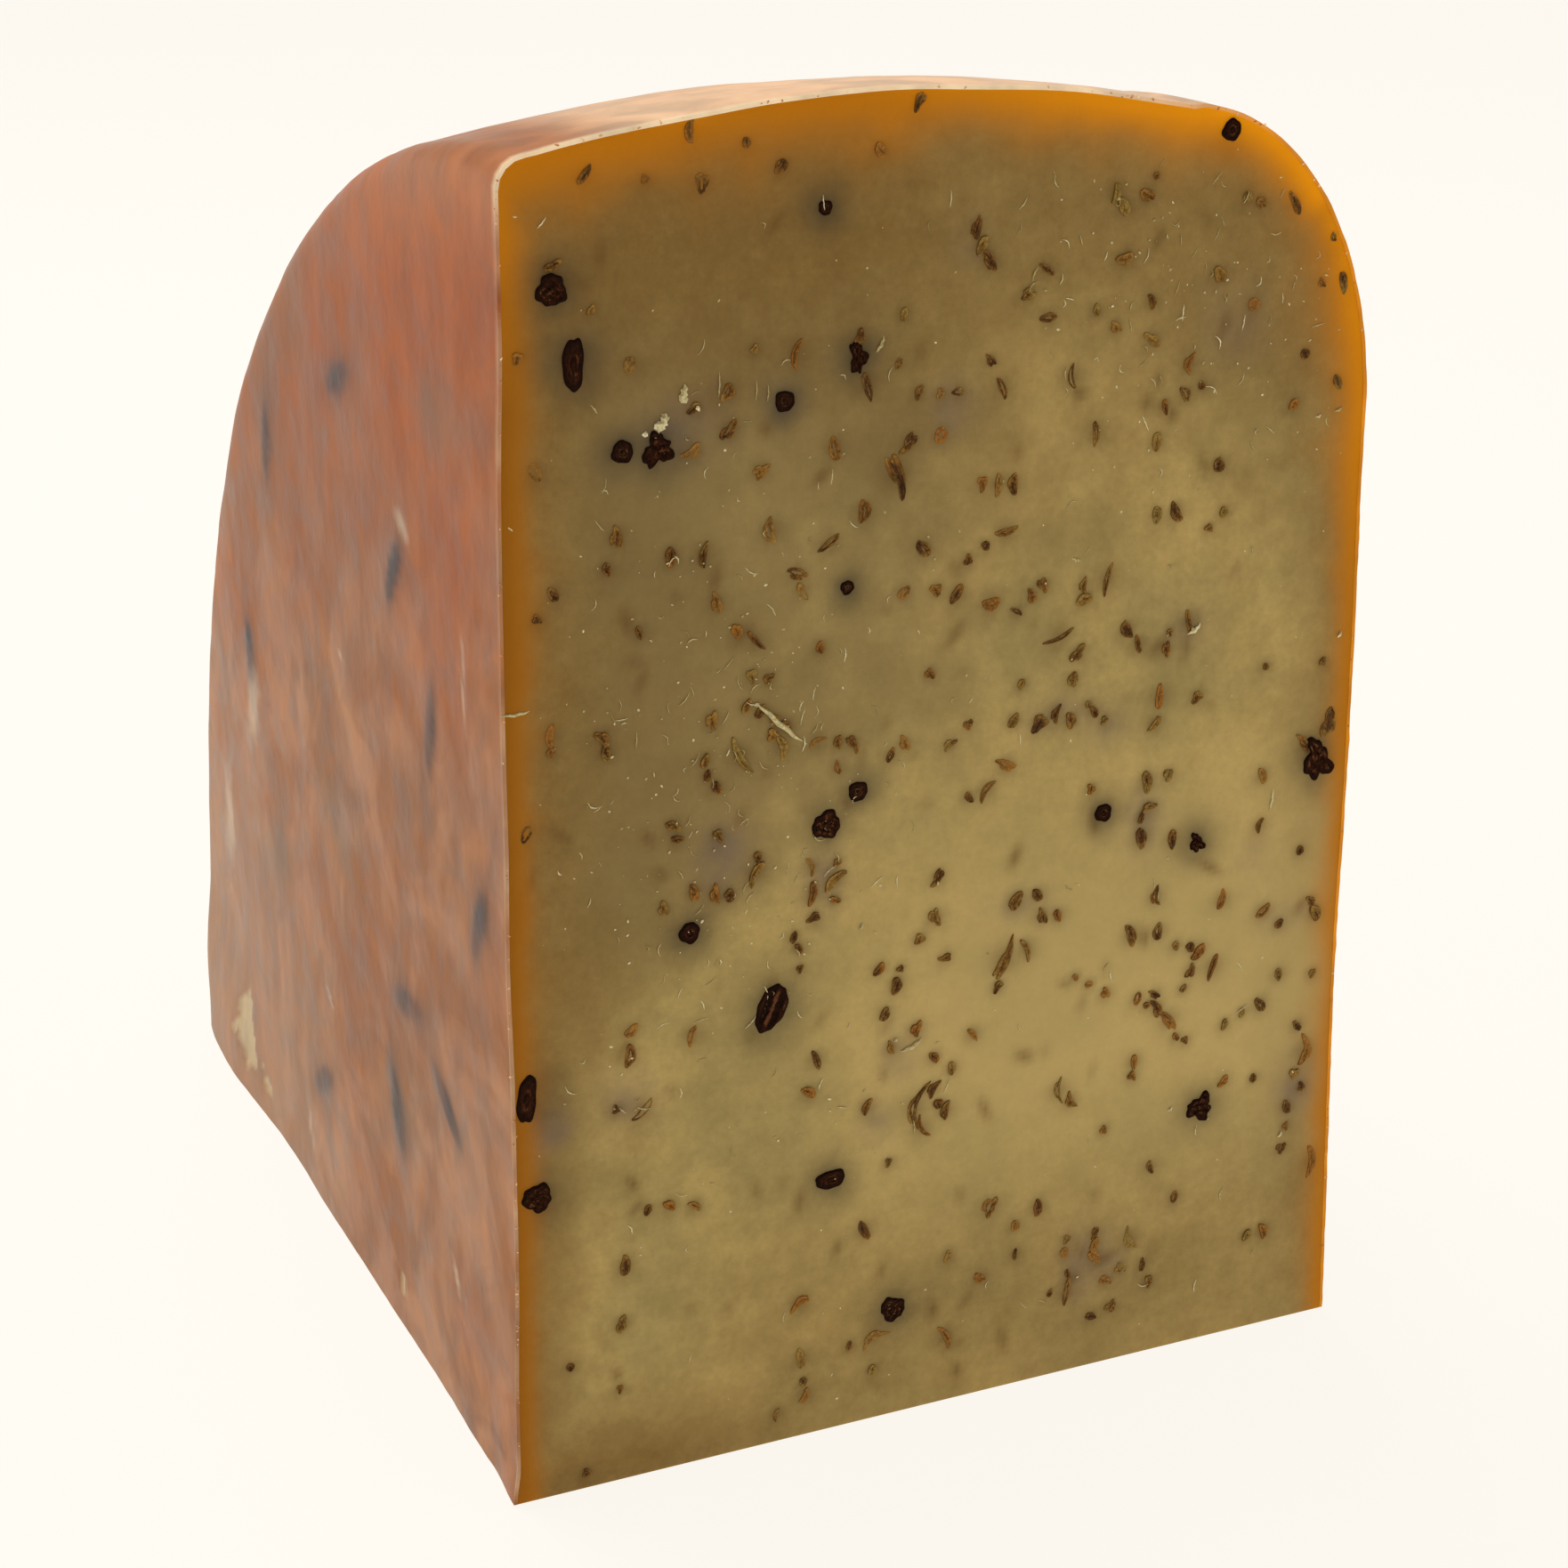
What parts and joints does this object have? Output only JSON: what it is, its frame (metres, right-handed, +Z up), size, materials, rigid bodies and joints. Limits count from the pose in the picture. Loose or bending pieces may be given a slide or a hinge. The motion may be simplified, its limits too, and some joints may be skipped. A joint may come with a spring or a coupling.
{
  "type": "spiced cheese wedge",
  "caption": "Quarter of a spiced hard cheese wheel standing on a cut face, with coated rind and cloves and cumin seeds in the paste.",
  "frame": {"origin": "on the surface that the block stands on, under the middle of its box", "axes": "+Z up; the wheel's axis runs along X at the lower front edge; the front cut face looks along -Y, the flat rind side with the sharp edge along -X, the side with the broad shoulder along +X, and the rim runs over the top (+Z) and down the back (+Y)"},
  "size_m": [0.1066, 0.1535, 0.1535],
  "materials": {
    "cheese_paste": "firm, slightly greasy knife-cut paste",
    "rind_coating": "satin breathable coating over the rind",
    "dried_clove": "dry, dark and slightly rough",
    "cumin_husk": "dry ridged husk"
  },
  "bodies": {
    "root": {"cheese_body": "cheese_paste", "clove_base_01": "dried_clove", "clove_base_02": "dried_clove", "clove_base_03": "dried_clove", "clove_front_01": "dried_clove", "clove_front_02": "dried_clove", "clove_front_03": "dried_clove", "clove_front_04": "dried_clove", "clove_front_05": "dried_clove", "clove_front_06": "dried_clove", "clove_front_07": "dried_clove", "clove_front_08": "dried_clove", "clove_front_09": "dried_clove", "clove_front_10": "dried_clove", "clove_front_11": "dried_clove", "clove_front_12": "dried_clove", "clove_front_13": "dried_clove", "clove_front_14": "dried_clove", "clove_front_15": "dried_clove", "clove_front_16": "dried_clove", "clove_front_17": "dried_clove", "clove_front_18": "dried_clove", "clove_front_19": "dried_clove", "clove_front_20": "dried_clove", "clove_front_21": "dried_clove", "clove_side_01": "dried_clove", "clove_side_02": "dried_clove", "clove_side_03": "dried_clove", "clove_side_04": "dried_clove", "clove_side_05": "dried_clove", "clove_side_06": "dried_clove", "clove_side_07": "dried_clove", "clove_side_08": "dried_clove", "clove_side_09": "dried_clove", "clove_side_10": "dried_clove", "cumin_01": "cumin_husk", "cumin_02": "cumin_husk", "cumin_03": "cumin_husk", "cumin_04": "cumin_husk", "cumin_05": "cumin_husk", "cumin_06": "cumin_husk", "cumin_07": "cumin_husk", "cumin_08": "cumin_husk", "cumin_09": "cumin_husk", "cumin_10": "cumin_husk", "cumin_11": "cumin_husk", "cumin_12": "cumin_husk", "cumin_13": "cumin_husk", "cumin_14": "cumin_husk", "cumin_15": "cumin_husk", "cumin_16": "cumin_husk", "cumin_17": "cumin_husk", "cumin_18": "cumin_husk", "cumin_19": "cumin_husk", "cumin_20": "cumin_husk", "cumin_21": "cumin_husk", "cumin_22": "cumin_husk", "rind_coating": "rind_coating"}
  },
  "joints": []
}
